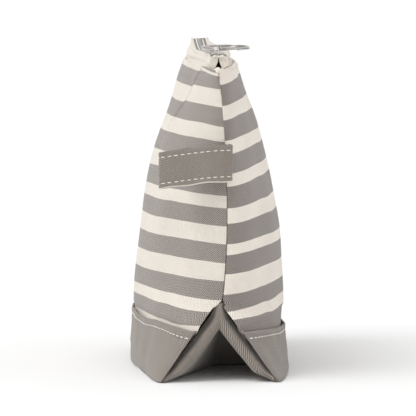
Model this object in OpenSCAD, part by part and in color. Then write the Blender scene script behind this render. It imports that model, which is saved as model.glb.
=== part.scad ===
// Zip-top striped canvas bag: two panels, a twill base with tucked ends,
// puffed facings with a zip, a side tab and a split ring on the slider.
// Origin: on the floor under the middle. +X along the bag, +Z up, mm.

/* [Bag] */
// Half length at the feet
foot_x = 129; // [100:1:170]
// Half length at the bottom of the side seam
waist_x = 117; // [90:1:160]
// Half length at the rim
rim_x = 127; // [100:1:170]
// Rim height
rim_z = 220; // [160:1:280]
// Half depth of the rim at mid length
rim_half = 19; // [14:1:40]
// Half depth of the belly at mid length
belly_half = 56.5; // [40:0.5:80]
// Half spread of the feet at each end
foot_half = 41; // [30:1:60]
// Height of the side seam's lower end
apex_z = 57; // [40:1:80]
// Cloth thickness of the striped panels
panel_t = 1.2; // [0.8:0.1:2]
// Lowest line of the striped panels, behind the band
panel_low = 33; // [20:1:60]

/* [Base] */
// Cloth thickness of the twill base
base_t = 1.6; // [1:0.1:2.5]
// Height of the twill band on the front
band_z = 41; // [25:1:70]
// How much lower the back band runs at mid length
back_dip = 12; // [0:1:20]
// Half length of the flat middle of the base
tuck_x = 20; // [10:1:60]
// Folds of the tuck on the floor, front side
tuck_front = 5; // [-20:1:20]
// Folds of the tuck on the floor, back side
tuck_back = 27; // [10:1:40]

/* [Zip] */
// Middle height of the teeth
zip_z = 229.1; // [180:0.1:290]
// Half length of the facings
facing_x = 118; // [90:1:160]
// Cloth thickness of the facings
facing_t = 1; // [0.8:0.1:2]
// Half length of the zip tapes
tape_x = 116; // [90:1:160]
// Pitch of the teeth
tooth_pitch = 3; // [2:0.5:6]
// Slider centre at rest, closed end
slider_x = 109; // [80:1:150]

/* [Ring] */
// Mean radius of the split ring
ring_r = 16; // [10:0.5:25]
// Wire radius of the split ring
ring_wire = 1.2; // [0.8:0.1:2]
// Ring centre across the bag
ring_y = 6.3; // [0:0.1:15]
// Ring height
ring_z = 233.9; // [200:0.1:290]

/* [Side tab] */
// Width of the tab up the seam
tab_w = 26; // [15:1:40]
// Middle height of the tab
tab_z = 153; // [100:1:190]
// Reach of the loop out of the seam
tab_reach = 45; // [30:1:70]
// Thickness of one ply
tab_t = 1.4; // [0.8:0.1:2]

/* [Hidden] */
$fn = 40;
gap = 0.3;
// Topstitching below the rim and below the band's edge
rim_stitch_drop = 4;
band_stitch_drop = 4.5;
// How far topstitching stands off the cloth
stitch_lift = 0.25;
// Side seam's position across the bag at the tab
seam_y = 4.6;
half_gap = 0.6;
band_inset = base_t + 2 * gap;
// Middle of the hole that holds the ring, and the ring's own middle
lug_x = slider_x + 2.5;
lug_hole = 2.2;
lug_outer = 2.8;
lug_t = 1.2;
plate_t = 0.8;
ring_x = lug_x - sqrt(pow(ring_r, 2) - pow(ring_y, 2));
warm_grey = [0.56, 0.52, 0.49];
cream = [0.90, 0.87, 0.82];
chrome = [0.75, 0.76, 0.78];

// ---- the bag's shape ----

function mix(a, b, f) = a + (b - a) * f;
function clamp01(f) = max(0, min(1, f));

// Half depth at mid length: full at the belly, closing to the rim
function mid_depth(v) =
    v < 16 ? belly_half - 1.5 * pow((16 - v) / 16, 2)
    : mix(belly_half, rim_half, pow((v - 16) / (rim_z - 16), 2.1));

// Roundness of a level section, 1 at mid length and 0 at the seam
function lens(a) = pow(max(0, 1 - pow(a, 1.6)), 0.65);

// Height up the side seam as a fraction, and its gentle sideways bow
function seam_f(v) = clamp01((v - apex_z) / (rim_z - apex_z));
function seam_bow(v) =
    v < apex_z ? 0
    : 5.2 * pow(max(0, sin(180 * pow(seam_f(v), 0.8))), 0.7)
      + 1.5 - 2.5 * seam_f(v);

// The cloth sags a little lower at the ends than at mid length
function end_sag(v) = v < 75 ? 6 * sin(180 * v / 75) : 0;

function end_x(v) =
    v <= apex_z ? mix(foot_x, waist_x, (v - end_sag(v)) / apex_z)
    : mix(waist_x, rim_x, pow(min(1, 2 * seam_f(v)), 0.7));
function end_y(v) =
    v <= apex_z ? foot_half * max(0, 1 - (v - end_sag(v)) / apex_z) : 0;

// A point of the outer wall. side -1 front, 1 back; u -1..1 along
function wall(side, u, v, inset) =
    let (a = abs(u), ye = max(half_gap, end_y(v) - inset))
    [
        (end_x(v) - inset) * u,
        side * mix(ye, mid_depth(v) - inset, lens(a))
            + seam_bow(v) * pow(a, 3),
        v - end_sag(v) * pow(a, 4)
    ];

// ---- closed cloth from a grid of points ----

function grid_normal(p, i, j) =
    let (n = len(p) - 1, m = len(p[0]) - 1,
         d1 = p[min(n, i + 1)][j] - p[max(0, i - 1)][j],
         d2 = p[i][min(m, j + 1)] - p[i][max(0, j - 1)],
         c = cross(d1, d2))
    c / max(1e-6, norm(c));

module cloth(p, t) {
    rows = len(p);
    cols = len(p[0]);
    inner = [for (i = [0:rows - 1]) [for (j = [0:cols - 1])
        p[i][j] + grid_normal(p, i, j) * t]];
    n = rows * cols;
    pts = concat([for (r = p) each r], [for (r = inner) each r]);
    function id(i, j) = i * cols + j;
    top = [for (i = [0:rows - 2]) for (j = [0:cols - 2])
        each [[id(i, j), id(i, j + 1), id(i + 1, j)],
              [id(i, j + 1), id(i + 1, j + 1), id(i + 1, j)]]];
    bottom = [for (f = top) [n + f[2], n + f[1], n + f[0]]];
    rim = concat(
        [for (j = [0:cols - 2]) [id(0, j), id(0, j + 1)]],
        [for (i = [0:rows - 2]) [id(i, cols - 1), id(i + 1, cols - 1)]],
        [for (j = [cols - 2:-1:0]) [id(rows - 1, j + 1), id(rows - 1, j)]],
        [for (i = [rows - 2:-1:0]) [id(i + 1, 0), id(i, 0)]]);
    side = [for (e = rim)
        each [[e[0], n + e[0], n + e[1]], [e[0], n + e[1], e[1]]]];
    polyhedron(pts, concat(top, bottom, side), convexity = 6);
}

// A thin flat bead laid along a path, w wide in direction up
module bead(path, out, w, h) {
    n = len(path);
    up = [0, 0, w / 2];
    ring = [for (i = [0:n - 1])
        each [path[i] - up, path[i] + up,
              path[i] + up + out[i] * h, path[i] - up + out[i] * h]];
    walls = [for (i = [0:n - 2]) for (k = [0:3])
        each [[4 * i + k, 4 * i + (k + 1) % 4, 4 * i + 4 + k],
              [4 * i + (k + 1) % 4, 4 * i + 4 + (k + 1) % 4,
               4 * i + 4 + k]]];
    last = 4 * n - 4;
    polyhedron(ring, concat(walls,
        [[3, 2, 1, 0], [last, last + 1, last + 2, last + 3]]),
        convexity = 6);
}

// ---- striped panels ----

panel_us = [for (k = [-12:12]) 0.999 * sin(90 * k / 12)];

function panel_inset(v) = band_inset * clamp01((46 - v) / 4);

module panel(side) {
    vs = [panel_low, 41, 46, 57, 75, 95, 115, 135, 155, 175, 192, 207,
          rim_z - rim_stitch_drop, rim_z];
    us = side < 0 ? panel_us : [for (k = [24:-1:0]) panel_us[k]];
    grid = [for (v = vs) [for (u = us) wall(side, u, v, panel_inset(v))]];
    color(cream)
        cloth(grid, panel_t);
}

module front_panel() {
    panel(-1);
}

module back_panel() {
    panel(1);
}

// ---- twill base ----

function band_top(side, u) =
    side < 0 ? band_z : band_z - back_dip * (1 - u * u);

// The fold of the tuck on the floor, g -1 front foot to 1 back foot
function fold(g) =
    g < -1 / 3 ? mix([foot_x, -foot_half], [tuck_x, tuck_front],
                     (g + 1) * 1.5)
    : g < 1 / 3 ? mix([tuck_x, tuck_front], [tuck_x, tuck_back],
                      (g + 1 / 3) * 1.5)
    : mix([tuck_x, tuck_back], [foot_x, foot_half], (g - 1 / 3) * 1.5);

function floor_point(u, g) =
    let (e = fold(g))
    [e[0] * u, mix(e[1], g * mid_depth(0), lens(abs(u))), 0];

module base_panel() {
    us = [for (k = [-10:10]) 0.998 * sin(90 * k / 10)];
    steps = [1, 0.82, 0.6, 0.4, 0.2, 0.08];
    front = [for (f = steps)
        [for (u = us) wall(-1, u, band_top(-1, u) * f, 0)]];
    flat = [for (g = [-1, -2 / 3, -1 / 3, 0, 1 / 3, 2 / 3, 1])
        [for (u = us) floor_point(u, g)]];
    back = [for (k = [5:-1:0])
        [for (u = us) wall(1, u, band_top(1, u) * steps[k], 0)]];
    color(warm_grey)
        cloth(concat(front, flat, back), -base_t);
}

module gusset() {
    apex = [waist_x - 3, 1, apex_z - 1];
    gs = [-0.97, -0.78, -0.56, -1 / 3, 0, 1 / 3, 0.56, 0.78, 0.97];
    grid = [for (f = [0.14, 0.35, 0.6, 0.82, 0.955])
        [for (g = gs)
            let (e = fold(g)) mix(apex, [e[0] - 3, e[1], 0], f)]];
    color(warm_grey)
        cloth(grid, 1.2);
}

module near_gusset() {
    gusset();
}

module far_gusset() {
    mirror([1, 0, 0])
        gusset();
}

// ---- facings and zip ----

function rim_depth(x) = rim_half * lens(min(1, abs(x) / rim_x));
function facing_in(x) = max(1.3, rim_depth(x) - 2.6);
function facing_out(x) = max(9, rim_depth(x) + 0.5);

module facing(side) {
    xs = [for (k = [-12:12]) facing_x * sin(90 * k / 12)];
    order = side < 0 ? xs : [for (k = [24:-1:0]) xs[k]];
    grid = [
        [for (x = order) [x, side * facing_in(x), 212]],
        [for (x = order) [x, side * facing_in(x), 220.5]],
        [for (x = order) [x, side * facing_out(x) * 0.94, 223.4]],
        [for (x = order) [x, side * facing_out(x) * 0.92, 226.6]],
        [for (x = order) [x, side * mix(5.2, facing_out(x), 0.55), 230.4]],
        [for (x = order) [x, side * 5.2, 231.2]]
    ];
    color(cream)
        cloth(grid, facing_t);
}

module front_facing() {
    facing(-1);
}

module back_facing() {
    facing(1);
}

module zip_tape(side) {
    color(warm_grey)
        translate([-tape_x, side < 0 ? -6.1 : 2.8, zip_z - 0.3])
            cube([2 * tape_x, 3.3, 0.6]);
}

module front_zip_tape() {
    zip_tape(-1);
}

module back_zip_tape() {
    zip_tape(1);
}

teeth_from = -106;
teeth_to = slider_x - 7;

// A comb of teeth along the tape's edge; a slit leaves the slider's post
module zip_teeth(side) {
    color(chrome)
        translate([0, 0, zip_z - 1.1])
            linear_extrude(2.2)
                scale([1, side])
                    union() {
                        translate([teeth_from, 2])
                            square([teeth_to - teeth_from + 12, 0.7]);
                        for (x = [teeth_from:tooth_pitch:teeth_to + 10])
                            translate([x, 1])
                                square([1.5, 1.2]);
                    }
}

module front_zip_teeth() {
    zip_teeth(-1);
}

module back_zip_teeth() {
    zip_teeth(1);
}

module near_end_stops() {
    color(chrome)
        for (side = [-1, 1])
            translate([slider_x + 6.4, side * 2.1 - 0.9, zip_z - 1.2])
                difference() {
                    cube([1.6, 1.8, 2.4]);
                    translate([-1, side < 0 ? -1 : 1.5, 0.75])
                        cube([4, 1.3, 0.9]);
                }
}

module far_end_stop() {
    color(chrome)
        translate([teeth_from - 3.4, -2.5, zip_z - 1.3])
            cube([2.6, 5, 2.6]);
}

// Two plates and a post between them, flanges for the tapes, and the lug
// that holds the ring
module slider_body() {
    color(chrome)
        union() {
            for (z = [-1.5 - plate_t, 1.5])
                translate([slider_x, 0, zip_z + z])
                    linear_extrude(plate_t)
                        hull() {
                            translate([3.4, 0])
                                square([3, 9.4], center = true);
                            translate([-4, 0])
                                circle(r = 2.4);
                        }
            translate([slider_x + 1, -0.65, zip_z - 2])
                cube([3.4, 1.3, 4]);
            for (side = [-1, 1])
                for (z = [-1.7, 0.6])
                    translate([slider_x + 2, side * 4.2 - 0.4, zip_z + z])
                        cube([2.9, 0.8, 1.1]);
            translate([lug_x, lug_t / 2, ring_z])
                rotate([90, 0, 0])
                    linear_extrude(lug_t)
                        difference() {
                            union() {
                                circle(r = lug_outer);
                                translate([-lug_outer, zip_z + 2 - ring_z])
                                    square([2 * lug_outer,
                                            ring_z - zip_z - 2]);
                            }
                            circle(r = lug_hole);
                        }
        }
}

module split_ring() {
    color(chrome)
        translate([ring_x, ring_y, ring_z])
            rotate_extrude()
                translate([ring_r, 0])
                    circle(r = ring_wire, $fn = 24);
}

// ---- side tab ----

tab_root = [rim_x + 2.6, seam_y];
tab_fold = [rim_x - 5, seam_y - tab_reach];

// The loop seen from above: out of the seam, round, and back on itself
function tab_path() = [
    tab_root + [0, -1.2],
    tab_root + [0.2, -12],
    mix(tab_root, tab_fold, 0.62) + [0.9, 0],
    tab_fold + [0.4, 1.6],
    tab_fold + [1.5, -0.6],
    tab_fold + [2.9, 1.0],
    mix(tab_root, tab_fold, 0.62) + [3.4, 0],
    tab_root + [3.4, -12],
    tab_root + [4.2, -1],
    tab_root + [3.0, 1.0],
    tab_root + [1.2, 0.8],
    tab_root + [0.0, 0.4]
];

module side_tab() {
    grid = [for (p = tab_path())
        [for (k = [0, 1]) [p[0], p[1], tab_z - tab_w / 2 + k * tab_w]]];
    color(warm_grey)
        cloth(grid, tab_t);
}

module side_tab_stitching() {
    path = [for (k = [5:8])
        tab_path()[k] + [tab_t + (k == 5 ? 0.5 : 0.35), 0]];
    color(cream)
        for (z = [-1, 1])
            bead([for (p = path) [p[0], p[1], tab_z + z * (tab_w / 2 - 4)]],
                 [for (p = path) [1, 0, 0]], 1, 0.4);
}

// ---- topstitching ----

module wall_stitching(side, drop, rim) {
    us = [for (k = [-16:16]) 0.97 * sin(90 * k / 16)];
    line = [for (u = us)
        let (v = (rim ? rim_z : band_top(side, u)) - drop)
        wall(side, u, v, -stitch_lift)];
    out = [for (u = us)
        let (p = wall(side, u + 0.01, rim_z / 2, 0),
             q = wall(side, u - 0.01, rim_z / 2, 0),
             d = p - q)
        side * [-d[1], d[0], 0] / norm([d[0], d[1]])];
    color(cream)
        if (side < 0)
            bead(line, out, 1, 0.4);
        else
            mirror([0, 1, 0])
                bead([for (p = line) [p[0], -p[1], p[2]]],
                     [for (p = out) [p[0], -p[1], p[2]]], 1, 0.4);
}

module front_base_stitching() {
    wall_stitching(-1, band_stitch_drop, false);
}

module back_base_stitching() {
    wall_stitching(1, band_stitch_drop, false);
}

module front_rim_stitching() {
    wall_stitching(-1, rim_stitch_drop, true);
}

module back_rim_stitching() {
    wall_stitching(1, rim_stitch_drop, true);
}

front_panel();
back_panel();
base_panel();
near_gusset();
far_gusset();
front_facing();
back_facing();
front_zip_tape();
back_zip_tape();
front_zip_teeth();
back_zip_teeth();
near_end_stops();
far_end_stop();
slider_body();
split_ring();
side_tab();
side_tab_stitching();
front_base_stitching();
back_base_stitching();
front_rim_stitching();
back_rim_stitching();
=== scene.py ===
"""A zip-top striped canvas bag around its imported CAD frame: canvas panels, a twill base with tucked ends,
puffed facings, a zip, a slider with its split ring, one side tab and topstitching.

Shapes are worked out in millimetres. u runs -1..1 along the bag and v runs up the cloth. A side is -1 for the
front or 1 for the back, and an end is 1 for the near one (+X) or -1 for the far one."""

import math

import bpy
import numpy as np
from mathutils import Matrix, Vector


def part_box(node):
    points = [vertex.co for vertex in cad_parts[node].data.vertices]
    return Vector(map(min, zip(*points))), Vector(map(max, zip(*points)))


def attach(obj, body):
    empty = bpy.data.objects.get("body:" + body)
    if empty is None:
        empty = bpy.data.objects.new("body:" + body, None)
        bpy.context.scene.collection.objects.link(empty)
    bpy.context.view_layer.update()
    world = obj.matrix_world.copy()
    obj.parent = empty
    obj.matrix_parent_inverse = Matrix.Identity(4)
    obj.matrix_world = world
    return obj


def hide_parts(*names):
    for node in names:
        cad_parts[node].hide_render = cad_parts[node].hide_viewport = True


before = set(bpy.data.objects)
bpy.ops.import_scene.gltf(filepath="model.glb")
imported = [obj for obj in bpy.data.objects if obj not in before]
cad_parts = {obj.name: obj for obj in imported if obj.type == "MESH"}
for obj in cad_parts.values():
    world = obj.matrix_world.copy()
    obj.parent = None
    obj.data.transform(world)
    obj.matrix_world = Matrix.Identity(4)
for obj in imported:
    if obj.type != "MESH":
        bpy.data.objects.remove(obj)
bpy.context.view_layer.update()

MM = 0.001


def box_mm(node):
    """A CAD node's lowest and highest corner in millimetres."""
    low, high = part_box(node)
    return np.array(low) / MM, np.array(high) / MM


# ---- sizes, from the frame where it holds them ----

FOOT_X, BELLY_HALF = box_mm("base_panel")[1][:2]
PANEL_FOOT_Z, RIM_Z = (corner[2] for corner in box_mm("front_panel"))
ZIP_Z = sum(corner[2] for corner in box_mm("front_zip_teeth")) / 2
FACING_X = box_mm("front_facing")[1][0]
TAPE_X = box_mm("front_zip_tape")[1][0]
TAB_LOW, TAB_HIGH = box_mm("side_tab")
RING_LOW, RING_HIGH = box_mm("split_ring")

# Half length of the bag at the tuck's top and at the rim
WAIST_X = 117.0
RIM_X = 127.0
# Half depth at the rim and at the feet, and the height where the belly is deepest
RIM_HALF = 19.0
FOOT_HALF = 41.0
BELLY_Z = 16
# The side seam begins at this height, above the tuck
APEX_Z = 57.0
# Top of the twill band, and how far it dips at the middle of the back
BAND_Z = 41.0
BACK_DIP = 12.0
# Where the two valley folds of a tuck reach the floor
TUCK_X = 20.0
TUCK_FRONT = 5.0
TUCK_BACK = 27.0
# The ends of the bag sag by this much, fading out at this height
SAG = 6
SAG_TOP = 75
SIDE_NAME = {-1: "front", 1: "back"}
END_NAME = {1: "near", -1: "far"}
# Cloth thicknesses
CANVAS_T = 0.96
TWILL_T = 0.9
FACING_T = 1.0
TAPE_T = 0.55


# ---- shape of the bag ----

def mix(a, b, f):
    """The value a share f of the way from a to b."""
    return a + (b - a) * f


def smooth(low, high, value):
    """0 below low, 1 above high, eased between."""
    f = np.clip((value - low) / (high - low), 0, 1)
    return f * f * (3 - 2 * f)


def bump(value, centre, width):
    """A soft hump of height 1."""
    return np.exp(-((value - centre) / width) ** 2)


def mid_depth(v):
    """Half depth of the bag at mid length, at height v up the cloth."""
    drawn_in, taper = 1.5, 2.1
    low = BELLY_HALF - drawn_in * (np.clip(BELLY_Z - v, 0, BELLY_Z) / BELLY_Z) ** 2
    rise = np.clip(v - BELLY_Z, 0, None) / (RIM_Z - BELLY_Z)
    return np.where(v < BELLY_Z, low, mix(BELLY_HALF, RIM_HALF, rise ** taper))


def lens(a):
    """Roundness of a level section: 1 at mid length, 0 at the seam."""
    return np.clip(1 - np.clip(a, 0, 1) ** 1.6, 0, 1) ** 0.65


def seam_rise(v):
    """0 where the side seam begins, 1 at the rim."""
    return np.clip((v - APEX_Z) / (RIM_Z - APEX_Z), 0, 1)


def seam_bow(v):
    """How far the side seam bows sideways."""
    f = seam_rise(v)
    deepest, at_foot, lean = 5.2, 1.5, 2.5
    bow = deepest * np.clip(np.sin(np.pi * f ** 0.8), 0, 1) ** 0.7 + at_foot - lean * f
    return np.where(v < APEX_Z, 0, bow)


def end_sag(v):
    """How far the cloth sags at the bag's ends."""
    return np.where(v < SAG_TOP, SAG * np.sin(np.pi * np.clip(v, 0, SAG_TOP) / SAG_TOP), 0)


def end_x(v):
    """Half length of the bag at height v: it widens to the waist along the leg, then to the rim."""
    leg = mix(FOOT_X, WAIST_X, (v - end_sag(v)) / APEX_Z)
    side = mix(WAIST_X, RIM_X, np.clip(2 * seam_rise(v), 0, 1) ** 0.7)
    return np.where(v <= APEX_Z, leg, side)


def end_y(v):
    """How far the leg stands from the bag's middle line: the legs meet where the seam begins."""
    return FOOT_HALF * np.clip(1 - (v - end_sag(v)) / APEX_Z, 0, 1)


def wall(side, u, v, out=0.0):
    """Points of the bag's wall at u along and v up the cloth, standing out from the mean shape."""
    a = np.abs(u)
    edge_y = np.maximum(0.05, end_y(v) + out)
    x = (end_x(v) + out) * u
    y = side * mix(edge_y, mid_depth(v) + out, lens(a)) + seam_bow(v) * a ** 3
    z = v - end_sag(v) * a ** 4
    return np.stack(np.broadcast_arrays(x, y, z), -1)


def spread(count, reach=1.0):
    """Stations along the bag, closer together toward its ends."""
    return reach * np.sin(np.linspace(-np.pi / 2, np.pi / 2, count))


def band_top(side, u):
    """Upper edge of the twill band: it dips between the middle and the ends."""
    a = np.abs(u)
    if side < 0:
        front_dip = 2.4
        return BAND_Z - front_dip * bump(a, 0.45, 0.22)
    return BAND_Z - BACK_DIP * (1 - a ** 2)


# ---- mesh helpers ----

def grid_normals(points):
    """Unit normals of a grid of points."""
    du = np.gradient(points, axis=1)
    dv = np.gradient(points, axis=0)
    n = np.cross(du, dv)
    return n / np.maximum(np.linalg.norm(n, axis=-1, keepdims=True), 1e-9)


def new_object(name, verts, faces, uvs=None):
    """A mesh object in metres from millimetre points. uvs holds one pair a vertex, also in millimetres."""
    mesh = bpy.data.meshes.new(name)
    mesh.from_pydata((np.asarray(verts) * MM).tolist(), [], faces)
    if uvs is not None:
        layer = mesh.uv_layers.new(name="cloth")
        flat = np.empty(len(mesh.loops), int)
        mesh.loops.foreach_get("vertex_index", flat)
        layer.data.foreach_set("uv", (np.asarray(uvs)[flat] * MM).ravel())
    mesh.shade_smooth()
    mesh.update()
    obj = bpy.data.objects.new(name, mesh)
    bpy.context.scene.collection.objects.link(obj)
    return obj


def grid_faces(rows, cols, flip):
    """The four-sided faces of a grid of vertices, row after row."""
    faces = []
    for i in range(rows - 1):
        for j in range(cols - 1):
            a = i * cols + j
            quad = (a, a + 1, a + cols + 1, a + cols)
            faces.append(quad[::-1] if flip else quad)
    return faces


def tube_faces(rings, sides, start=0):
    """The faces of a tube of vertex rings, closed at both ends."""
    faces = []
    for i in range(rings - 1):
        for j in range(sides):
            a = start + i * sides + j
            b = start + i * sides + (j + 1) % sides
            faces.append((a, b, b + sides, a + sides))
    faces.append(tuple(start + j for j in reversed(range(sides))))
    faces.append(tuple(start + (rings - 1) * sides + j for j in range(sides)))
    return faces


def cloth_object(name, points, uvs, thickness, flip=False):
    """A woven piece from a grid of outer points, thickened inward."""
    rows, cols = points.shape[:2]
    obj = new_object(name, points.reshape(-1, 3), grid_faces(rows, cols, flip), uvs.reshape(-1, 2))
    solid = obj.modifiers.new("ply", "SOLIDIFY")
    solid.thickness = thickness * MM
    solid.offset = -1
    return obj


def finish_piece(obj, body, material, slot, *nodes):
    """Give a piece its material, the body it rides and the CAD nodes it replaces. The slot is not used."""
    obj.data.materials.clear()
    obj.data.materials.append(material)
    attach(obj, body)
    if nodes:
        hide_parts(*nodes)
    return obj


def with_turned_ends(points, uvs, steps, turn):
    """A grid with both end columns carried on inward: turn(edge, end, d) moves an end's edge on by d."""
    for end, column in ((-1, slice(0, 1)), (1, slice(-1, None))):
        edge, edge_uv = points[:, column], uvs[:, column]
        turned = [turn(edge, end, d) for d in steps]
        turned_uv = [edge_uv + np.array([end * d, 0]) for d in steps]
        if end < 0:
            points = np.concatenate(turned[::-1] + [points], axis=1)
            uvs = np.concatenate(turned_uv[::-1] + [uvs], axis=1)
        else:
            points = np.concatenate([points] + turned, axis=1)
            uvs = np.concatenate([uvs] + turned_uv, axis=1)
    return points, uvs


def along(points):
    """Distance run along a line of points."""
    steps = np.linalg.norm(np.diff(points, axis=0), axis=1)
    return np.concatenate([[0], np.cumsum(steps)])


def at(points, run, s):
    """The point at distance s along a line."""
    return np.array([np.interp(s, run, points[:, k]) for k in range(3)])


def curve_through(controls, count):
    """Points of a smooth curve through the controls."""
    p = np.asarray(controls, float)
    p = np.vstack([2 * p[0] - p[1], p, 2 * p[-1] - p[-2]])
    out = []
    for s in np.linspace(0, len(p) - 3 - 1e-9, count):
        i = int(s)
        t = s - i
        a, b, c, d = p[i:i + 4]
        out.append(0.5 * (2 * b + (c - a) * t + (2 * a - 5 * b + 4 * c - d) * t * t
                          + (3 * b - a - 3 * c + d) * t ** 3))
    return np.array(out)


def stitches(name, points, normals, pitch=4.5, length=3.1, width=0.95, height=0.55, seed=0):
    """A row of single stitches: rounded thread lying on the cloth, each dipping in at its ends."""
    rng = np.random.default_rng(seed)
    uneven, sunk, domed = 0.15, 0.45, 0.6
    run = along(points)
    verts, faces = [], []
    sides, rings = 8, 7
    count = int((run[-1] - length) / pitch) + 1
    step = (run[-1] - length) / (count - 1)
    for k in range(count):
        middle = k * step + length / 2 + rng.uniform(-uneven, uneven)
        start = len(verts)
        for i in range(rings):
            f = i / (rings - 1)
            s = middle + (f - 0.5) * length
            here = at(points, run, s)
            ahead = at(points, run, s + 0.3) - at(points, run, s - 0.3)
            ahead /= np.linalg.norm(ahead)
            up = at(normals, run, s)
            up /= np.linalg.norm(up)
            across = np.cross(ahead, up)
            round_end = math.sqrt(max(0.04, 1 - (2 * f - 1) ** 2))
            for j in range(sides):
                t = 2 * math.pi * j / sides
                lift = height * (round_end - sunk) + height * domed * round_end * math.sin(t)
                verts.append(here + across * (width / 2 * round_end * math.cos(t)) + up * lift)
        faces += tube_faces(rings, sides, start)
    return new_object(name, np.array(verts), faces)


# ---- materials ----

class Nodes:
    """Short calls for a material's node tree."""

    def __init__(self, name):
        """A new material with its Principled shader."""
        self.material = bpy.data.materials.new(name)
        self.material.use_nodes = True
        self.tree = self.material.node_tree
        self.shader = self.tree.nodes["Principled BSDF"]

    def add(self, kind, **settings):
        """A new shader node of this kind."""
        node = self.tree.nodes.new("ShaderNode" + kind)
        for key, value in settings.items():
            setattr(node, key, value)
        return node

    def feed(self, socket, value):
        """Link an output into a socket, or set a plain value."""
        if hasattr(value, "is_linked"):
            self.tree.links.new(value, socket)
        else:
            socket.default_value = value

    def math(self, operation, a, b=0.0, c=0.0):
        """The output of a Math node."""
        node = self.add("Math", operation=operation)
        for socket, value in zip(node.inputs, (a, b, c)):
            self.feed(socket, value)
        return node.outputs[0]

    def mix_colour(self, factor, a, b, blend="MIX"):
        """Colour a turning into colour b by the factor."""
        node = self.add("Mix", data_type="RGBA", blend_type=blend)
        self.feed(node.inputs[0], factor)
        self.feed(node.inputs[6], a)
        self.feed(node.inputs[7], b)
        return node.outputs[2]

    def noise(self, vector, scale, detail=2.0, rough=0.5):
        """0..1 noise over a coordinate."""
        node = self.add("TexNoise")
        self.feed(node.inputs["Vector"], vector)
        self.feed(node.inputs["Scale"], scale)
        self.feed(node.inputs["Detail"], detail)
        self.feed(node.inputs["Roughness"], rough)
        return node.outputs["Fac"]

    def cloth_axes(self):
        """(along, up) the cloth in millimetres, and the coordinate itself."""
        uv = self.add("UVMap", uv_map="cloth").outputs[0]
        split = self.add("SeparateXYZ")
        self.feed(split.inputs[0], uv)
        along_cloth = self.math("MULTIPLY", split.outputs[0], 1 / MM)
        up_cloth = self.math("MULTIPLY", split.outputs[1], 1 / MM)
        return along_cloth, up_cloth, uv

    def bump(self, height, strength, distance):
        """Raise the surface by a height. The distance is in metres."""
        node = self.add("Bump")
        node.inputs["Strength"].default_value = strength
        node.inputs["Distance"].default_value = distance
        self.feed(node.inputs["Height"], height)
        self.feed(self.shader.inputs["Normal"], node.outputs[0])
        return node


def linear(r, g, b):
    """A colour given as screen values 0-255."""
    def one(c):
        """One channel from screen value to light."""
        c /= 255
        return c / 12.92 if c <= 0.04045 else ((c + 0.055) / 1.055) ** 2.4
    return (one(r), one(g), one(b), 1.0)


def wave(n, value, period):
    """0..1 sine of a millimetre coordinate."""
    turned = n.math("SINE", n.math("MULTIPLY", value, 2 * math.pi / period))
    return n.math("MULTIPLY_ADD", turned, 0.5, 0.5)


def twill_height(n, s, t, rib, reverse):
    """Height of a herringbone twill: diagonal ribs that turn back every reverse millimetres."""
    zig = n.math("PINGPONG", s, reverse) if reverse else s
    ribs = wave(n, n.math("ADD", t, zig), rib)
    threads = wave(n, s, rib * 0.62)
    return n.math("MULTIPLY_ADD", threads, 0.35, n.math("MULTIPLY", ribs, 0.65))


def fabric(name, light, dark, rib, reverse=0.0, contrast=0.5, stripes=None, sheen=0.25, line=None):
    """Woven cotton with yarn between light and dark.

    stripes is a list of (cloth height, g or c) where each colour begins, and the light and dark of the c
    yarn. line is one woven line: (cloth height, half width, colour)."""
    n = Nodes(name)
    s, t, uv = n.cloth_axes()
    slub = n.noise(uv, 260.0, 3.0, 0.6)
    cloud = n.noise(uv, 34.0, 3.0, 0.55)
    fine = n.noise(uv, 1300.0, 1.0, 0.5)
    height = twill_height(n, n.math("MULTIPLY_ADD", slub, 0.5, s), t, rib, reverse)
    height = n.math("MULTIPLY_ADD", fine, 0.5, height)
    weave = n.math("MULTIPLY_ADD", n.math("SUBTRACT", height, 0.75), contrast, 0.5)
    weave = n.math("MINIMUM", n.math("MAXIMUM", weave, 0.0), 1.0)
    yarn = n.mix_colour(weave, dark, light)
    if stripes:
        changes, pale, pale_dark = stripes
        pale_yarn = n.mix_colour(weave, pale_dark, pale)
        yarn = n.mix_colour(stripe_mask(n, uv, t, fine, changes), yarn, pale_yarn)
    if line:
        middle, half_width, colour = line
        yarn = n.mix_colour(n.math("COMPARE", t, middle, half_width), yarn, colour)
    cloud_depth, slub_depth = 0.22, 0.16
    tone = n.math("MULTIPLY_ADD", n.math("SUBTRACT", cloud, 0.5), cloud_depth, 1.0)
    tone = n.math("MULTIPLY_ADD", n.math("SUBTRACT", slub, 0.5), slub_depth, tone)
    shade = n.add("CombineXYZ")
    for k in range(3):
        n.feed(shade.inputs[k], tone)
    colour = n.mix_colour(1.0, yarn, shade.outputs[0], "MULTIPLY")
    n.feed(n.shader.inputs["Base Color"], colour)
    n.shader.inputs["Roughness"].default_value = 0.88
    n.shader.inputs["Specular IOR Level"].default_value = 0.25
    n.shader.inputs["Sheen Weight"].default_value = sheen
    n.shader.inputs["Sheen Roughness"].default_value = 0.5
    n.bump(height, 0.42, 0.3 * MM)
    return n.material


def stripe_mask(n, uv, t, fine, changes):
    """0 on the g stripes and 1 on the c stripes, with edges that wander and fray a little."""
    wander = n.math("MULTIPLY_ADD", n.noise(uv, 30.0, 1.0, 0.5), 1.4, -0.7)
    fray = n.math("MULTIPLY_ADD", fine, 0.5, -0.25)
    level = n.math("ADD", n.math("ADD", t, wander), fray)
    ramp = n.add("ValToRGB")
    ramp.color_ramp.interpolation = "CONSTANT"
    elements = ramp.color_ramp.elements
    top = RIM_Z + 30
    mask = {"g": (0, 0, 0, 1), "c": (1, 1, 1, 1)}
    for k, (z, kind) in enumerate(changes):
        element = elements[k] if k < 2 else elements.new(z / top)
        element.position = z / top
        element.color = mask[kind]
    n.feed(ramp.inputs[0], n.math("DIVIDE", level, top))
    return ramp.outputs[0]


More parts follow.
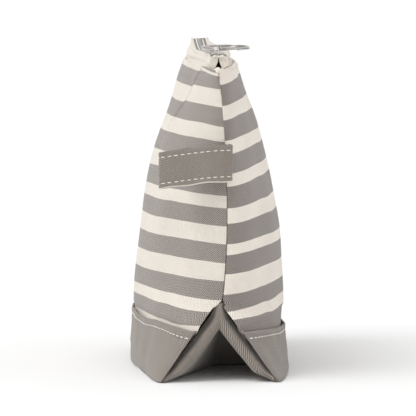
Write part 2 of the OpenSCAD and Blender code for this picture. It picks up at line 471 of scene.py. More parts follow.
def metal(name, colour, roughness):
    """Plated metal with faint smudges that darken and dull it."""
    n = Nodes(name)
    smudged = [c * 0.86 for c in colour[:3]] + [1.0]
    dulled = 0.12
    where = n.add("TexCoord").outputs["Object"]
    smudge = n.noise(where, 420.0, 3.0, 0.6)
    fine = n.noise(where, 3200.0, 2.0, 0.5)
    n.shader.inputs["Metallic"].default_value = 1.0
    n.feed(n.shader.inputs["Base Color"], n.mix_colour(smudge, colour, smudged))
    n.feed(n.shader.inputs["Roughness"], n.math("MULTIPLY_ADD", smudge, dulled, roughness))
    n.bump(fine, 0.08, 0.1 * MM)
    return n.material


def thread_material():
    """Off-white sewing thread, darker between its plies."""
    n = Nodes("thread")
    where = n.add("TexCoord").outputs["Object"]
    ply = n.noise(where, 1500.0, 2.0, 0.5)
    colour = n.mix_colour(ply, linear(214, 208, 198), linear(246, 243, 236))
    n.feed(n.shader.inputs["Base Color"], colour)
    n.shader.inputs["Roughness"].default_value = 0.7
    n.shader.inputs["Sheen Weight"].default_value = 0.3
    n.bump(ply, 0.5, 0.2 * MM)
    return n.material


# ---- striped panels ----

# Height up the cloth where each colour begins, g grey or c cream, from the bottom edge up
FRONT_STRIPES = [(0, "c"), (44.6, "g"), (53.2, "c"), (60.2, "g"), (70.6, "c"), (83, "g"), (96.6, "c"),
                 (108.5, "g"), (121.2, "c"), (130.4, "g"), (144, "c"), (155.2, "g"), (169, "c"),
                 (178.9, "g"), (193, "c"), (205.4, "g"), (214.6, "c"), (216, "g"), (218.4, "c")]
BACK_STRIPES = [(0, "g"), (48.2, "c"), (53.5, "g"), (63.4, "c"), (74.6, "g"), (88, "c"), (96.5, "g"),
                (110.8, "c"), (121.3, "g"), (137, "c"), (146, "g"), (160, "c"), (169.6, "g"),
                (183.8, "c"), (193.8, "g"), (208.5, "c")]
# The turned-down pleat beside the crease hides the narrow top stripes between these two heights
PLEAT_V = 216.6
PLEAT_SKIP = 8.0
# The crease near the front rim, as (distance along the bag, height)
CREASE_TOP = np.array([86.0, 218.0])
CREASE_FOOT = np.array([22.0, 160.0])
# The rim's hem: radius of its roll, how far it goes down inside, and rows of points in each half
HEM_ROLL = 1.25
HEM_DROP = 12.0
HEM_ROWS = 5
# Distances into the bag along the seam allowance
SEAM_STEPS = (0.8, 2.2, 5.0)


def crease_side(x, v):
    """Signed distance in millimetres from the long crease near the front rim, and how strong it is there."""
    line = CREASE_FOOT - CREASE_TOP
    length = np.linalg.norm(line)
    line = line / length
    dx, dv = x - CREASE_TOP[0], v - CREASE_TOP[1]
    down = dx * line[0] + dv * line[1]
    across = dx * line[1] - dv * line[0]
    return across, smooth(-8, 6, down) * (1 - smooth(length * 0.7, length, down))


def stripe_shift(side, u, v):
    """How much lower the woven stripes run away from the seams."""
    a = np.abs(u)
    if side < 0:
        low = 3.6 * (1 - smooth(50, 85, v)) + 2.2 * (1 - smooth(36, 52, v))
        middle_dip = 1.5 * bump(v, 143, 9) * (1 - smooth(0, 0.3, a))
        return (1 - a ** 12) * (low - 1.7 + 1.1 * smooth(186, 200, v)) + middle_dip
    low = 3.6 * (1 - smooth(56, 84, v)) + 4.5 * (1 - smooth(40, 56, v))
    return (1 - a ** 5) * (low - 3.0)


def crease_shift(u, v):
    """How the front's stripes step at the crease, where the pleat hides the narrow top ones."""
    x = end_x(v) * u
    left = smooth(-0.6, 0.6, crease_side(x, v)[0])
    toward_crease = np.clip((RIM_X - x) / (RIM_X - CREASE_TOP[0]), 0, 1)
    below_pleat = left * 2.0 * smooth(182, 196, v)
    at_pleat = left * (PLEAT_SKIP * (v > PLEAT_V) - 4.4) * smooth(206.5, 214, v)
    return below_pleat + at_pleat - (1 - left) * 2.7 * toward_crease * smooth(208, 214, v)


def relief(side, u, v):
    """How far the slack cloth stands out from the smooth wall."""
    a = np.abs(u)
    x = end_x(v) * u
    gap = end_x(v) * (1 - a)
    calm = (1 - a ** 8) * smooth(36, 60, v)
    slack = 0.7 * np.sin(0.047 * v + 0.021 * x + 1.1 * side) + 0.45 * np.sin(0.083 * v - 0.052 * x + 2.0)
    slack = slack + 0.3 * np.sin(0.13 * x + 0.05 * v + 0.6 * side) * smooth(60, 140, v)
    pucker = 0.28 * np.sin(2 * np.pi * v / 7.3 + side) * np.exp(-gap / 5) * smooth(60, 70, v)
    seam_pull = 1.1 * np.exp(-gap / 2.2) * smooth(50, 62, v)
    out = slack * calm + pucker - seam_pull
    if side < 0:
        across, strength = crease_side(x, v)
        out = out + (0.8 * bump(across, 0.9, 1.5) - 0.7 * bump(across, -1.4, 1.8)) * strength
    return out


def flat_along(us, v):
    """Distance along the cloth from mid length at each station."""
    row = wall(-1, us, np.full_like(us, v))
    run = along(row)
    return run - run[len(run) // 2]


# (height, offset) of each wall from the mean shape at mid length
FRONT_TRIM = [(0, 1.6), (12, 0.4), (22, -0.4), (50, -0.6), (64, -1.4), (85, -1.0), (100, 0.5), (125, 1.8),
              (150, 1.0), (170, -0.3), (190, -2.6), (215, -1.8)]
BACK_TRIM = [(0, 0.8), (15, -2.4), (28, -4.2), (42, -1.6), (60, -1.2), (77, -1.0), (90, 0.2), (104, 0.9),
             (120, -0.4), (136, -1.2), (154, -1.4), (172, 0.6), (182, 1.1), (198, 0.0)]


def belly_trim(side, u, v):
    """How far each wall stands from the mean shape, smoothed over neighbouring heights."""
    heights, offsets = zip(*(FRONT_TRIM if side < 0 else BACK_TRIM))
    spread_over = (-9, -5, -2, 2, 5, 9)
    out = sum(np.interp(v + d, heights, offsets) for d in spread_over) / len(spread_over)
    return out * (1 - np.abs(u) ** 3)


def rim_hem(side, us, edge, inward):
    """Rows of points that roll the rim over and carry its hem down inside the bag."""
    roll = (HEM_ROLL * smooth(0.0, 0.06, 1 - np.abs(us)) + 0.05)[:, None]
    seam_line = seam_bow(RIM_Z) * np.abs(us) ** 3
    clear_of_seam = 0.12
    rows = []
    for k in range(1, 2 * HEM_ROWS + 1):
        turn = min(k / HEM_ROWS, 1) * math.pi
        drop = max(0, k - HEM_ROWS) / HEM_ROWS * HEM_DROP
        row = edge + inward * (roll * (1 - math.cos(turn))) + [0, 0, HEM_ROLL * math.sin(turn) - drop]
        row[:, 1] = seam_line + side * np.maximum(side * (row[:, 1] - seam_line), clear_of_seam)
        row[:, 0] *= 1 - 0.035 * min(1, max(0, k - 2) / 3)
        rows.append(row)
    return rows


def panel(side):
    """A striped panel from inside the band up to the rim, hemmed there, with its seam allowances."""
    us = spread(301, 0.9995)
    low_rows = np.linspace(PANEL_FOOT_Z, 60, 28)[:-1]
    high_rows = np.linspace(60, RIM_Z - 1.2, 112)
    vs = np.sort(np.concatenate([low_rows, high_rows, [PLEAT_V - 0.06, PLEAT_V + 0.06]]))
    u, v = np.meshgrid(us, vs)
    tuck_in = 1.2 * (1 - smooth(BAND_Z - 0.5, BAND_Z + 4, v))
    points = wall(side, u, v, belly_trim(side, u, v) - tuck_in)
    # Under the band the panel's ends stop short of the leg
    covered = smooth(0.5, 3.0, band_top(side, u) - v) * smooth(0.8, 0.98, np.abs(u))
    points[..., 0] -= 10.0 * np.sign(u) * covered
    normal = side * -grid_normals(points)
    points = points + normal * relief(side, u, v)[..., None]
    shift = stripe_shift(side, u, v)
    if side < 0:
        shift = shift + crease_shift(u, v)
    uvs = np.stack([np.broadcast_to(flat_along(us, 120.0), u.shape), v + shift], -1)
    hem = rim_hem(side, us, points[-1], -normal[-1] * [1, 1, 0])
    hem_uvs = [uvs[-1] + [0, 0.8 * (k + 1)] for k in range(len(hem))]
    points = np.concatenate([points, np.array(hem)])
    uvs = np.concatenate([uvs, np.array(hem_uvs)])

    def turn_in(edge, end, d):
        """The seam allowance runs into the bag, leaning a little toward the middle."""
        return edge + np.array([-end * d, -side * 0.12 * d, 0])

    points, uvs = with_turned_ends(points, uvs, SEAM_STEPS, turn_in)
    return cloth_object(SIDE_NAME[side] + "_panel_cloth", points, uvs, CANVAS_T, flip=side > 0)


# ---- twill base ----

# The band's section: (below its top edge, stands out) over the lip, then (share of its height, stands out)
STITCH_DROP = 4.4
LIP = [(7, -0.2), (3, -0.1), (0.7, 0.1), (0.1, 0.55), (0.3, 1.1), (1.2, 1.4), (2.8, 1.3), (STITCH_DROP, 0.85),
       (6.0, 1.2), (9, 1.15)]
BAND_WALL = [(0.66, 1.0), (0.5, 0.9), (0.34, 0.9), (0.2, 1.0), (0.1, 1.2), (0.05, 1.3), (0.018, 0.9)]
FLOOR_ROWS = 31
# How far the turned-in ply's first rows stop short of the outer ply at both ends
PLY_SHORT = (10.0, 8.0, 3.0)
END_STEPS = (0.7, 1.8, 4.0, 7.0)


def band_section(top):
    """The band from its turned-in edge round the lip and down: (height, how far it stands out)."""
    return [(top - drop, out) for drop, out in LIP] + [(top * f, out) for f, out in BAND_WALL]


def band_rows(side, us):
    """Rows of the band on one side from its turned-in edge down, and their heights."""
    sections = np.array([band_section(top) for top in band_top(side, us)]).transpose(1, 2, 0)
    rows = []
    for v, out in sections:
        rows.append(wall(side, us, v, out + belly_trim(side, us, v) + band_relief(side, us, v)))
    return rows, [v for v, out in sections]


def fold_line(g):
    """Where the tuck folds on the floor: g -1 at the front foot to 1 at the back foot."""
    keys = [-1, -1 / 3, 1 / 3, 1]
    x = np.interp(g, keys, [FOOT_X, TUCK_X, TUCK_X, FOOT_X])
    y = np.interp(g, keys, [-FOOT_HALF, TUCK_FRONT, TUCK_BACK, FOOT_HALF])
    return x, y


def band_relief(side, u, v):
    """The band ripples a little and swells between its folds."""
    a = np.abs(u)
    ripple = 0.5 * np.sin(0.08 * u * FOOT_X + 1.3 * side) + 0.35 * np.sin(0.21 * u * FOOT_X - side)
    off_floor = smooth(2, 14, v)
    front_hollow = 3.4 * bump(a, 0.5, 0.3) * (1 - off_floor) * (side < 0)
    return ripple * (1 - a ** 6) * off_floor - front_hollow


def base_panel():
    """The twill base in one piece: up the front, across the floor with its tucks, and up the back."""
    us = spread(121)
    front, front_heights = band_rows(-1, us)
    back, back_heights = band_rows(1, us)
    across = np.linspace(-0.985, 0.985, FLOOR_ROWS)
    on_the_floor = []
    for g in across:
        fold_x, fold_y = fold_line(g)
        y = mix(fold_y, g * (mid_depth(0.0) + 0.4), lens(np.abs(us)))
        on_the_floor.append(np.stack([fold_x * us, y, np.zeros_like(us)], -1))
    points = np.array(front + on_the_floor + back[::-1])
    points[..., 2] = np.maximum(points[..., 2], 0.0)
    for row, short in enumerate(PLY_SHORT):
        for ply in (row, -1 - row):
            points[ply, :, 0] -= short * np.sign(us) * smooth(0.85, 0.99, np.abs(us))
    floor_width = 120
    floor_runs = [np.full_like(us, -floor_width / 2 * (g + 1)) for g in across]
    runs = front_heights + floor_runs + [-floor_width - v for v in back_heights[::-1]]
    uvs = np.stack([np.broadcast_to(flat_along(us, 30.0), points.shape[:2]), np.array(runs)], -1)
    flat_rows = np.zeros(len(points), bool)
    flat_rows[len(front):len(front) + FLOOR_ROWS] = True
    inward = np.where(flat_rows, 0.25, 1.0)[:, None]
    lift = np.where(flat_rows, 0.12, 0.0)[:, None]

    def turn_in(edge, end, d):
        """The end turns into the bag. On the floor it turns less and lifts."""
        moved = edge.copy()
        moved[..., 0] -= end * d * inward
        moved[..., 1] *= 1 - 0.006 * d
        moved[..., 2] += d * lift
        return moved

    points, uvs = with_turned_ends(points, uvs, END_STEPS, turn_in)
    return cloth_object("base_panel_cloth", points, uvs, TWILL_T, flip=True)


# The tuck's cloth rolls round the leg: (back from the leg, further into the tuck than its gap)
TUCK_ROLL = [(6.5, 0.3), (3.0, 1.2), (1.6, 3.2), (2.0, 6.0), (5.0, 8.6)]
# Where the same points lie, as shares of the way to the valley, once the tuck is flat on the floor
TUCK_FLAT = (0.0, 0.01, 0.02, 0.04, 0.07, 0.11)


def gusset_section(f):
    """One level line across the tuck, from the front leg over its rolled edge to the valley and back up."""
    apex = np.array([WAIST_X - 1.5, 1.0, APEX_Z - 1.5])
    off_floor = 0.4
    size = float(smooth(0, 0.3, f)) * 0.75 + 0.25
    gap = 0.8 + 3.8 * float(smooth(0.02, 0.25, f) * (1 - 0.62 * smooth(0.4, 1.0, f)))
    flat = 0.8 * float(smooth(0.86, 1.0, f))
    half = []
    for side in (-1, 1):
        foot = np.array([FOOT_X, side * FOOT_HALF, off_floor])
        leg = mix(apex, foot, f)
        tuck_y = TUCK_FRONT if side < 0 else TUCK_BACK
        valley = mix(apex, np.array([TUCK_X, tuck_y, off_floor]), f)
        into = -side
        points = [leg + np.array([-10.0 * size, into * (gap - 0.6) * 0.5, 0])]
        for back, inset in TUCK_ROLL:
            points.append(leg + np.array([-back * size, into * (gap + inset * size), 0]))
        lie = valley - leg
        points = [mix(point, leg + lie * k, flat) for point, k in zip(points, TUCK_FLAT)]
        start = points[-1]
        points += [mix(start, valley, k) + np.array([-2.5, 0, 0]) * size * math.sin(math.pi * k)
                   for k in (0.25, 0.5, 0.75, 0.94)]
        half.append(points)
    middle = [mix(half[0][-1], half[1][-1], k) + np.array([-1.5 * size, 0, 0]) for k in (0.35, 0.65)]
    return curve_through(half[0] + middle + half[1][::-1], 110)


def gusset(end):
    """The tucked-in cloth at one end, level line by level line from the waist to the floor."""
    levels = np.concatenate([[0.01, 0.05, 0.1], np.linspace(0.14, 0.995, 34)])
    points = np.array([gusset_section(f) for f in levels])
    points[..., 0] *= end
    runs = np.array([along(row) for row in points])
    runs = runs - runs[:, runs.shape[1] // 2][:, None]
    slope = 1.3
    drop = np.broadcast_to(-APEX_Z * slope * levels[:, None], runs.shape)
    uvs = np.stack([runs, drop], -1)
    return cloth_object(END_NAME[end] + "_gusset_cloth", points, uvs, TWILL_T, flip=end < 0)


# ---- facings and zip ----

# The zip leans toward the front by this much; its bend starts here and is full after this run
ZIP_BOW = -7.5
BEND_START = -140
BEND_RUN = 190
# Distance of the facing's crown from the zip's line where the bag is open
CROWN_IN = 5.4
# Shares of the way across at which the facing's folded end has a column of points
FOLD_STEPS = (0.03, 0.1, 0.22, 0.4, 0.6, 0.8, 0.93, 1.0)
# A tooth seen from above, a narrow neck and a rounded head, then its (height, size) in layers
TOOTH = [(-0.45, 1.5), (-0.45, 0.9), (-0.75, 0.4), (-0.62, -0.3), (0.0, -0.52),
         (0.62, -0.3), (0.75, 0.4), (0.45, 0.9), (0.45, 1.5)]
TOOTH_LAYERS = [(-1.15, 0.82), (-0.85, 1.0), (0.95, 1.0), (1.3, 0.78)]
TOOTH_PITCH = 2.4
# Length at the near end kept free of teeth
NEAR_STOP_RUN = 6


def zip_y(x):
    """The zip's line: it leans toward the front and comes back to the middle at the near end."""
    return ZIP_BOW * np.clip((x - BEND_START) / BEND_RUN, 0, 1) ** 0.8 * (1 - smooth(34, 110, x))


def rim_depth(x):
    """Half depth of the bag's mouth at distance x along it."""
    return RIM_HALF * lens(np.clip(np.abs(x) / RIM_X, 0, 1))


def facing(side):
    """A puffed facing: up behind the rim, over its roll and in to the zip, closing at both ends."""
    stations = FACING_X * np.sin(np.linspace(-np.pi / 2, np.pi / 2, 161))
    slim = 2.6 if side < 0 else 4.6
    rows = []
    for x in stations:
        closing = float(smooth(104, 117, abs(x)))
        near_in = max(0.9, rim_depth(x) - 3.4)
        end_out = 7.4 if x > 0 else (5.6 if side < 0 else 5.2)
        out = max(mix(end_out + 0.6, end_out, closing), rim_depth(x) - slim * (1 - closing))
        ripple = 0.55 * math.sin(0.16 * x + side) + 0.4 * math.sin(0.31 * x + 2 * side)
        puff = (1.2 * math.sin(0.045 * x + 0.8) + ripple) * (1 - closing)
        lean = float(zip_y(x))
        drop = closing * (2.4 if x > 0 else 2.0) + 0.9 * smooth(30, 50, x) * (1 - closing)
        controls = [(near_in, 210.0), (near_in, 217.0), (near_in + 0.6 + 0.8 * closing, 220.0),
                    (out * 0.9 + 0.2 * puff, 222.6), (out + 0.35 * puff, 225.0 + 0.3 * ripple),
                    (mix(CROWN_IN, out, 0.8), 227.9 + 0.4 * puff - drop),
                    (mix(CROWN_IN, out, 0.45), 229.8 + 0.35 * puff - drop),
                    (6.6 - 1.0 * closing, 230.7 + 0.3 * ripple * (1 - closing) - drop),
                    (5.0 - 1.0 * closing, 230.9 - drop), (4.3 - 1.0 * closing, 230.3 - drop)]
        line = []
        for y, z in controls:
            follow = smooth(219.0, 229.0, z) * (1 - smooth(6.0, max(out, 9.0), y))
            line.append((x, side * y + lean * follow, z))
        rows.append(curve_through(line, 34))
    points = np.array(rows).transpose(1, 0, 2)
    for end in (-1, 1):
        points = with_end_fold(points, side, end)
    mid_height_row = 20
    across = along(points[mid_height_row])
    runs = np.array([along(points[:, j]) for j in range(points.shape[1])]).T
    uvs = np.stack([np.broadcast_to(across, runs.shape), runs], -1)
    return cloth_object(SIDE_NAME[side] + "_facing_cloth", points, uvs, FACING_T, flip=side > 0)


def with_end_fold(points, side, end):
    """The facing's end is folded flat across the bag toward the middle, leaving a small opening low down."""
    edge = points[:, -1 if end > 0 else 0]
    z = edge[:, 2]
    inner = side * (0.35 + 2.1 * smooth(226.5, 219.0, z))
    columns = []
    for k in FOLD_STEPS:
        column = edge.copy()
        column[:, 1] = mix(edge[:, 1], np.where(side * edge[:, 1] > side * inner, inner, edge[:, 1]), k)
        swell = 0.9 * math.sin(math.pi * min(1.0, 0.25 + k * 0.75)) + 0.25 * math.sin(9.0 * k)
        column[:, 0] += end * swell
        column[:, 2] += 0.5 * math.sin(math.pi * k) * smooth(222, 229, z)
        columns.append(column)
    for back in (0.8, 4.0):
        column = columns[-1].copy()
        column[:, 0] -= end * back
        columns.append(column)
    columns = [column[:, None] for column in columns]
    if end < 0:
        return np.concatenate(columns[::-1] + [points], axis=1)
    return np.concatenate([points] + columns, axis=1)


def zip_tape(side):
    """One side of the zip's tape, following the zip's line."""
    xs = np.linspace(-TAPE_X, TAPE_X, 117)
    inner_edge, outer_edge, slope = 0.9, 5.5, 0.05
    across = np.linspace(inner_edge, outer_edge, 9)
    points = np.array([[(x, side * y + float(zip_y(x)), ZIP_Z + 0.3 - slope * y) for x in xs]
                       for y in across])
    uvs = np.stack([np.broadcast_to(xs, points.shape[:2]),
                    np.broadcast_to(across[:, None], points.shape[:2])], -1)
    return cloth_object(SIDE_NAME[side] + "_zip_tape_weave", points, uvs, TAPE_T, flip=side > 0)


def zip_teeth(side, first, last):
    """One row of teeth. The back row sits half a pitch along from the front one."""
    verts, faces = [], []
    offset = 0.0 if side < 0 else TOOTH_PITCH / 2
    for k in range(int((last - first) / TOOTH_PITCH)):
        x = first + k * TOOTH_PITCH + offset
        lean = float(zip_y(x))
        tooth = tube_faces(len(TOOTH_LAYERS), len(TOOTH), len(verts))
        for z, grow in TOOTH_LAYERS:
            verts += [(x + px * grow, side * (1.0 + (py - 1.0) * grow) + lean, ZIP_Z + z) for px, py in TOOTH]
        faces += tooth if side < 0 else [face[::-1] for face in tooth]
    return new_object(SIDE_NAME[side] + "_zip_teeth_row", verts, faces)


# ---- tubes: the split ring and the end of the seam ----

def tube(name, path, sides, across, tall, round_ends=False):
    """A smooth tube along a path, across wide in the path's plane and tall out of it."""
    path = np.asarray(path, float)
    count = len(path)
    verts = []
    plane = np.cross(path[count // 3] - path[0], path[count // 2] - path[0])
    plane /= np.linalg.norm(plane)
    for i in range(count):
        ahead = path[min(i + 1, count - 1)] - path[max(i - 1, 0)]
        ahead /= np.linalg.norm(ahead)
        sidewise = np.cross(ahead, plane)
        sidewise /= np.linalg.norm(sidewise)
        up = np.cross(sidewise, ahead)
        full = math.sqrt(1.02 - (2 * i / (count - 1) - 1) ** 4) if round_ends else 1.0
        for j in range(sides):
            t = 2 * math.pi * j / sides
            verts.append(path[i] + (sidewise * across * math.cos(t) + up * tall * math.sin(t)) * full)
    return new_object(name, verts, tube_faces(count, sides))


def split_ring():
    """Two turns of flattened wire, the second climbing over the first."""
    half_wide, half_thick, turns, start_angle = 1.15, 0.6, 1.97, 0.5
    centre = (RING_LOW + RING_HIGH) / 2
    radius = (RING_HIGH[0] - RING_LOW[0]) / 2 - 1.2
    path = []
    for t in np.linspace(0, turns, 220):
        lift = -0.62 + 1.24 * float(smooth(0.86, 1.12, t))
        angle = 2 * math.pi * t + start_angle
        path.append(centre + [radius * math.cos(angle), radius * math.sin(angle), lift])
    return tube("split_ring_wire", path, 14, half_wide, half_thick)


def seam_knob():
    """The end of the seam allowance, rolled over the top of the near seam."""
    middle = seam_bow(RIM_Z)
    path = curve_through([(RIM_X - 3.0, middle, RIM_Z - 1.2), (RIM_X - 1.2, middle, RIM_Z + 0.1),
                          (RIM_X + 0.1, middle + 0.1, RIM_Z - 0.5), (RIM_X + 0.3, middle, RIM_Z - 2.4)], 26)
    return tube("seam_knob", path, 18, 1.4, 1.9, round_ends=True)


# ---- side tab ----

# Slope at which the tab hangs, where it leaves the seam, the height of its middle and half its width
TAB_SKEW = -0.152
SEAM_Y = 4.6
TAB_MIDDLE = (TAB_LOW[2] + TAB_HIGH[2]) / 2 + 2.0
TAB_HALF = (TAB_HIGH[2] - TAB_LOW[2]) / 2
# The stitched grooves, as a share of the half width, and the stations of tab_line that carry stitches
TAB_GROOVE = 0.71
TAB_STITCHED = slice(53, 93)


def tab_line():
    """The loop seen from above, out of the seam, round and back, as a smooth line."""
    root = np.array([RIM_X + 2.6, SEAM_Y])
    fold = np.array([RIM_X - 5.0, SEAM_Y - 45.0])
    middle = mix(root, fold, 0.55)
    controls = [root + [-0.9, 0.6], root + [-0.7, -4], root + [-0.5, -12], middle + [0.6, 0],
                mix(root, fold, 0.8) + [0.4, 0], fold + [0.3, 2.2], fold + [0.6, -0.4], fold + [1.7, -1.1],
                fold + [2.9, 0.4], mix(root, fold, 0.8) + [3.2, 0], middle + [4.2, 0], root + [4.6, -12],
                root + [5.0, -4], root + [4.6, 1.4], root + [3.2, 3.5], root + [1.2, 3.4], root + [0.1, 1.7]]
    return curve_through(controls, 110)


def tab_lift(y):
    """The loop hangs a little toward its fold."""
    straight, easing = 8, 6
    reach = SEAM_Y - y - straight
    return TAB_SKEW * (reach + math.hypot(reach, easing)) / 2


def tab_frames():
    """The tab's line and, at each station, the way out of its cloth."""
    line = tab_line()
    ahead = np.gradient(line, axis=0)
    ahead /= np.linalg.norm(ahead, axis=1, keepdims=True)
    return line, np.stack([ahead[:, 1], -ahead[:, 0]], -1)


def side_tab():
    """The looped strap: two thin edges, a stitched groove near each and a soft swell between."""
    line, out = tab_frames()
    across = np.concatenate([[-1, -0.985, -0.95, -0.88, -0.78, -0.71, -0.66, -0.55, -0.3],
                             [0, 0.3, 0.55, 0.66, 0.71, 0.78, 0.88, 0.95, 0.985, 1]])
    a = np.abs(across)
    edge = np.sqrt(np.clip(1 - np.clip((a - 0.94) / 0.06, 0, 1) ** 2, 0.0, 1))
    swell = 0.22 * bump(across, 0, 0.6) + 0.16 * bump(a, 0.86, 0.08)
    thick = (0.72 + swell - 0.3 * bump(a, TAB_GROOVE, 0.05)) * edge
    there_and_back = [(1, k) for k in range(len(across))]
    there_and_back += [(-1, k) for k in reversed(range(1, len(across) - 1))]
    verts, uvs = [], []
    for (x, y), (nx, ny), run in zip(line, out, along(line)):
        wave_z = 0.35 * math.sin(0.25 * run)
        for sign, k in there_and_back:
            stand = sign * max(0.04, thick[k]) + 0.12 * math.sin(0.5 * run + 2.0 * across[k])
            height = TAB_MIDDLE + TAB_HALF * across[k] + tab_lift(y) + wave_z
            verts.append((x + nx * stand, y + ny * stand, height))
            uvs.append((run, TAB_HALF * across[k] + (0 if sign > 0 else 60)))
    return new_object("side_tab_strap", verts, tube_faces(len(line), len(there_and_back)), uvs)


def tab_stitching():
    """Two rows of stitches in the grooves of the strap's outer half."""
    line, out = tab_frames()
    line, out = line[TAB_STITCHED], out[TAB_STITCHED]
    normals = np.array([(nx, ny, 0) for nx, ny in out])
    rows = []
    for sign in (-1, 1):
        z = TAB_MIDDLE + sign * TAB_GROOVE * TAB_HALF
        points = np.array([(x + nx * 0.5, y + ny * 0.5, z + tab_lift(y))
                           for (x, y), (nx, ny) in zip(line, out)])
        rows.append(stitches("row", points, normals, length=3.4, width=0.7, height=0.45, seed=11 + sign))
    return join(rows, "side_tab_stitches")


def join(objects, name):
    """One object from several."""
    verts, faces = [], []
    for obj in objects:
        start = len(verts)
        verts += [np.array(v.co) / MM for v in obj.data.vertices]
        faces += [tuple(start + k for k in p.vertices) for p in obj.data.polygons]
        bpy.data.objects.remove(obj)
    return new_object(name, verts, faces)


# ---- topstitching on the bag ----

def wall_row(side, heights, out, relief_at, reach):
    """A stitch line along the wall: its points and the way out of the cloth."""
    us = spread(161, reach)
    v = heights(us)
    line = wall(side, us, v, out + belly_trim(side, us, v) + relief_at(side, us, v))
    slope = np.gradient(line, axis=0)
    normals = side * np.stack([-slope[:, 1], slope[:, 0], np.zeros_like(us)], -1)
    normals = normals / np.linalg.norm(normals, axis=1, keepdims=True)
    return line + normals * (0.7 * smooth(0.7, 0.95, np.abs(us)))[:, None], normals


def base_stitching(side):
    """The row that holds the band's top edge down."""
    line, normals = wall_row(side, lambda us: band_top(side, us) - STITCH_DROP, 1.05, band_relief, 0.997)
    return stitches(SIDE_NAME[side] + "_base_stitches", line, normals, seed=3 + side)


def rim_stitching(side):
    """The finer row just under the rim."""
    below_rim = 2.5
    line, normals = wall_row(side, lambda us: np.full_like(us, RIM_Z - below_rim), 0.2, relief, 0.93)
    return stitches(SIDE_NAME[side] + "_rim_stitches", line, normals,
                    pitch=3.6, length=2.6, width=0.6, height=0.4, seed=7 + side)


# ---- build ----

# Yarn colours, light and dark. The back panel's grey and cream are the front's yarns with painted shade and
# painted light: the grey is painted darker and the cream lighter for how light falls on the back
GREY, GREY_DARK = linear(180, 172, 165), linear(88, 81, 76)
CREAM, CREAM_DARK = linear(238, 231, 221), linear(204, 195, 183)
BACK_GREY_PAINTED_SHADE = linear(173, 164, 158)
BACK_CREAM_PAINTED_LIGHT, BACK_CREAM_DARK_PAINTED_LIGHT = linear(249, 241, 231), linear(222, 212, 200)
TWILL, TWILL_DARK = linear(172, 163, 154), linear(84, 77, 71)
FACING_DARK = linear(210, 200, 187)
TAPE, TAPE_DARK = linear(166, 158, 152), linear(112, 105, 100)
TAB_LINE, TAPE_LINE = linear(214, 205, 194), linear(240, 236, 230)

# The back panel's material is a copy of the front's canvas with painted light and painted shade in its stripe
# colours
striped = {-1: fabric("striped_canvas_front", GREY, GREY_DARK, 1.5, reverse=3.6, contrast=2.2,
                      stripes=(FRONT_STRIPES, CREAM, CREAM_DARK)),
           1: fabric("striped_canvas_back_painted_light", BACK_GREY_PAINTED_SHADE, GREY_DARK, 1.5, reverse=3.6, contrast=2.2,
                     stripes=(BACK_STRIPES, BACK_CREAM_PAINTED_LIGHT, BACK_CREAM_DARK_PAINTED_LIGHT))}
twill = fabric("grey_twill", TWILL, TWILL_DARK, 1.3, contrast=1.8)
tab_twill = fabric("tab_twill", TWILL, TWILL_DARK, 1.2, reverse=1.3, contrast=1.8,
                   line=(-12.6, 0.5, TAB_LINE))
canvas = fabric("cream_canvas", CREAM, FACING_DARK, 0.8, contrast=0.8)
tape = fabric("zip_tape", TAPE, TAPE_DARK, 0.9, contrast=0.8, sheen=0.1, line=(2.35, 0.4, TAPE_LINE))
bright = metal("bright_nickel", (0.6, 0.58, 0.56, 1.0), 0.12)
zip_metal = metal("zip_metal", (0.42, 0.4, 0.39, 1.0), 0.25)
thread = thread_material()

for side, word in SIDE_NAME.items():
    cloth = finish_piece(panel(side), "bag", striped[side], "striped_canvas", word + "_panel")
    facing_cloth = finish_piece(facing(side), "bag", canvas, "cream_canvas", word + "_facing")
    weave = finish_piece(zip_tape(side), "bag", tape, "zip_tape", word + "_zip_tape")
    teeth_low, teeth_high = box_mm(word + "_zip_teeth")
    teeth = zip_teeth(side, teeth_low[0], teeth_high[0] - NEAR_STOP_RUN)
    finish_piece(teeth, "bag", zip_metal, "zip_metal", word + "_zip_teeth")
    finish_piece(base_stitching(side), "bag", thread, "thread", word + "_base_stitching")
    finish_piece(rim_stitching(side), "bag", thread, "thread", word + "_rim_stitching")

finish_piece(seam_knob(), "bag", canvas, "cream_canvas")
base = finish_piece(base_panel(), "bag", twill, "grey_twill", "base_panel")

for end, word in END_NAME.items():
    tuck = finish_piece(gusset(end), "bag", twill, "grey_twill", word + "_gusset")

strap = finish_piece(side_tab(), "tab_loop", tab_twill, "grey_twill", "side_tab")
finish_piece(tab_stitching(), "tab_loop", thread, "thread", "side_tab_stitching")
finish_piece(split_ring(), "ring", bright, "bright_metal", "split_ring")

# The metal parts keep their CAD shape, with softened edges
EDGE_WIDTH = 0.25
for node, material in (("slider_body", bright), ("near_end_stops", zip_metal), ("far_end_stop", zip_metal)):
    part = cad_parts[node]
    part.data.materials.clear()
    part.data.materials.append(material)
    edge = part.modifiers.new("edge", "BEVEL")
    edge.width = EDGE_WIDTH * MM
    edge.segments = 2
    edge.limit_method = "ANGLE"


# ---- floor, light, camera ----

# Here lengths are in metres, but the lens and its sensor in millimetres
WORLD_LIGHT = 0.8
KEY_LIGHT = 1.2
KEY_FROM = (0.35, -0.75, 1.1)
KEY_SPREAD = math.radians(35)
FLOOR_SIZE = 40.0
FLOOR_GAP = 0.0002
WALL_RADIUS, WALL_HEIGHT, WALL_MIDDLE = 10.0, 2.4, 1.1
LENS, SENSOR = 397, 36
CAMERA_TURN = math.radians(3.2)
CAMERA_AWAY, CAMERA_HEIGHT = 3.2, 0.4
AIM_SIDE, AIM_HEIGHT = -0.008, 0.1232
CLIP_START, CLIP_END = 0.1, 60


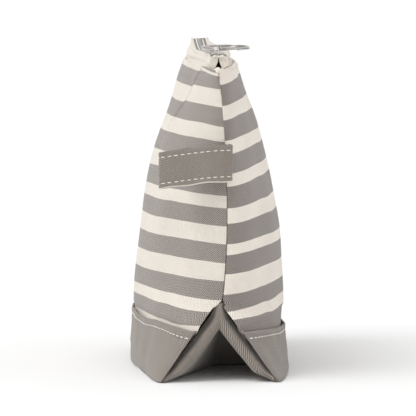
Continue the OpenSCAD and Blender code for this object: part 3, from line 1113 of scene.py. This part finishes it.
def floor():
    """A wide pale floor just under the bag."""
    bpy.ops.mesh.primitive_plane_add(size=FLOOR_SIZE, location=(0, 0, -FLOOR_GAP))
    obj = bpy.context.active_object
    obj.name = "floor"
    n = Nodes("pale_floor")
    n.shader.inputs["Base Color"].default_value = (0.93, 0.93, 0.93, 1.0)
    n.shader.inputs["Roughness"].default_value = 0.9
    n.shader.inputs["Specular IOR Level"].default_value = 0.1
    obj.data.materials.append(n.material)


def backdrop():
    """A far white wall all round, so that the floor has no visible edge."""
    bpy.ops.mesh.primitive_cylinder_add(vertices=96, radius=WALL_RADIUS, depth=WALL_HEIGHT,
                                        end_fill_type="NOTHING", location=(0, 0, WALL_MIDDLE))
    obj = bpy.context.active_object
    obj.name = "backdrop"
    n = Nodes("white_backdrop")
    n.shader.inputs["Base Color"].default_value = (0.0, 0.0, 0.0, 1.0)
    n.shader.inputs["Specular IOR Level"].default_value = 0.0
    n.shader.inputs["Emission Color"].default_value = (1.0, 1.0, 1.0, 1.0)
    n.shader.inputs["Emission Strength"].default_value = 1.0
    obj.data.materials.append(n.material)


def light():
    """Even white light from all round and one soft key from the front and above."""
    world = bpy.data.worlds.new("studio")
    world.use_nodes = True
    background = world.node_tree.nodes["Background"]
    background.inputs["Color"].default_value = (1.0, 1.0, 1.0, 1.0)
    background.inputs["Strength"].default_value = WORLD_LIGHT
    bpy.context.scene.world = world
    data = bpy.data.lights.new("key", "SUN")
    data.energy = KEY_LIGHT
    data.angle = KEY_SPREAD
    obj = bpy.data.objects.new("key", data)
    obj.rotation_euler = (-Vector(KEY_FROM)).to_track_quat("-Z", "Y").to_euler()
    bpy.context.scene.collection.objects.link(obj)


def camera():
    """Level end view from the +X side, turned a few degrees toward the front panel."""
    data = bpy.data.cameras.new("camera")
    data.sensor_width = SENSOR
    data.lens = LENS
    data.clip_start, data.clip_end = CLIP_START, CLIP_END
    obj = bpy.data.objects.new("camera", data)
    obj.location = (FOOT_X * MM + CAMERA_AWAY * math.cos(CAMERA_TURN), -CAMERA_AWAY * math.sin(CAMERA_TURN),
                    CAMERA_HEIGHT)
    aim = Vector((FOOT_X * MM, AIM_SIDE, AIM_HEIGHT))
    obj.rotation_euler = (aim - obj.location).to_track_quat("-Z", "Y").to_euler()
    bpy.context.scene.collection.objects.link(obj)
    bpy.context.scene.camera = obj


bpy.context.scene.view_settings.view_transform = "Standard"
floor()
backdrop()
light()
camera()
